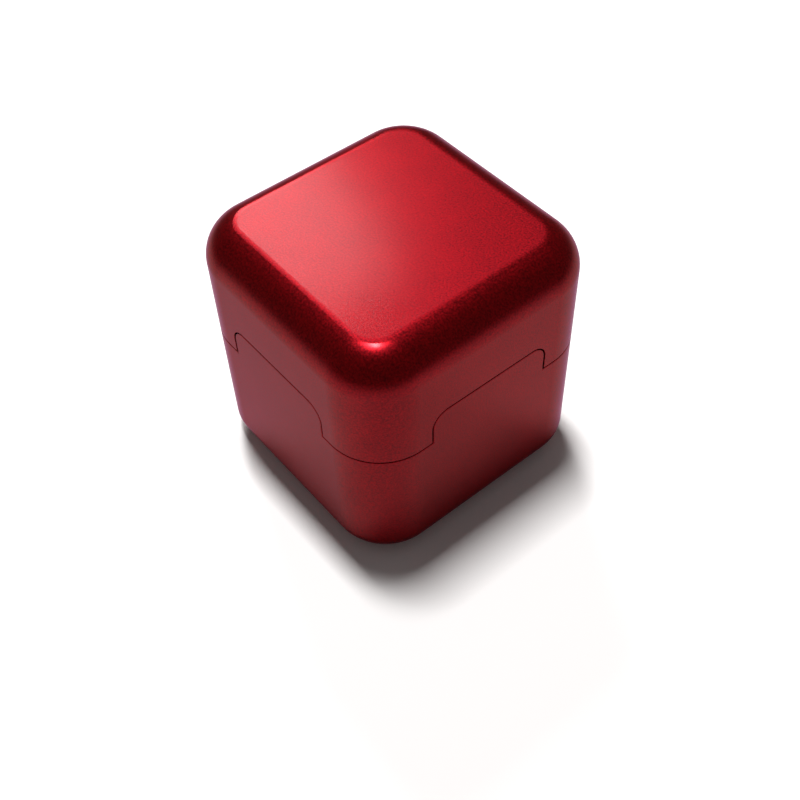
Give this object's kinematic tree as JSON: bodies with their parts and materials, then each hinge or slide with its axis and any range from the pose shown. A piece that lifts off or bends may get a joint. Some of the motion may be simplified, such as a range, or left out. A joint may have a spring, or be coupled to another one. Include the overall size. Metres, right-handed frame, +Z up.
{
  "type": "fidget cube",
  "caption": "Rounded metal fidget cube with a stepped seam, a sprung lifting cap held down by magnets, and a ball-bearing finger button in its underside.",
  "frame": {"origin": "on the table under the middle of the cube, at the finger button's rim", "axes": "+Z up along the post and the bearing, +X and +Y square to two side faces"},
  "size_m": [0.03, 0.03, 0.03],
  "materials": {
    "anodised_red": "bead-blasted, red anodised",
    "ground_steel": "ground",
    "polished_steel": "polished",
    "spring_steel": "drawn wire",
    "black_screw": "black oxide",
    "nickel_plate": "bright nickel plate",
    "brass_cage": "stamped and tumbled",
    "acetal": "turned"
  },
  "bodies": {
    "lower": {"lower_body": "anodised_red", "guide_bush": "acetal", "thrust_washer": "ground_steel", "return_spring": "spring_steel", "bearing_outer_ring": "ground_steel", "bearing_circlip": "spring_steel", "bearing_shield_lower": "ground_steel", "bearing_shield_upper": "ground_steel", "lower_magnet_1": "nickel_plate", "lower_magnet_2": "nickel_plate", "lower_magnet_3": "nickel_plate", "lower_magnet_4": "nickel_plate"},
    "cap": {"upper_body": "anodised_red", "lift_post": "ground_steel", "spring_seat": "ground_steel", "stop_screw": "black_screw", "upper_magnet_1": "nickel_plate", "upper_magnet_2": "nickel_plate", "upper_magnet_3": "nickel_plate", "upper_magnet_4": "nickel_plate"},
    "rotor": {"finger_button": "anodised_red", "rotor_washer": "ground_steel", "rotor_screw": "black_screw", "bearing_inner_ring": "ground_steel"},
    "ball_cage": {"bearing_cage": "brass_cage", "bearing_ball_1": "polished_steel", "bearing_ball_2": "polished_steel", "bearing_ball_3": "polished_steel", "bearing_ball_4": "polished_steel", "bearing_ball_5": "polished_steel", "bearing_ball_6": "polished_steel", "bearing_ball_7": "polished_steel", "bearing_ball_8": "polished_steel", "bearing_ball_9": "polished_steel", "bearing_ball_10": "polished_steel"}
  },
  "joints": [
    {"name": "cap_lift", "type": "slide", "parent": "lower", "child": "cap", "axis": [0, 0, 1], "range_m": [0, 0.004], "stiffness_N_per_m": 300, "springref_m": -0.0033, "deforming": ["return_spring"]},
    {"name": "rotor_spin", "type": "hinge", "parent": "lower", "child": "rotor", "pos_m": [0, 0, 0], "axis": [0, 0, 1], "continuous": true},
    {"name": "cage_spin", "type": "hinge", "parent": "lower", "child": "ball_cage", "pos_m": [0, 0, 0.00488], "axis": [0, 0, 1], "continuous": true}
  ],
  "couplings": [
    {"joint": "cage_spin", "follows": "rotor_spin", "ratio": 0.4181}
  ]
}
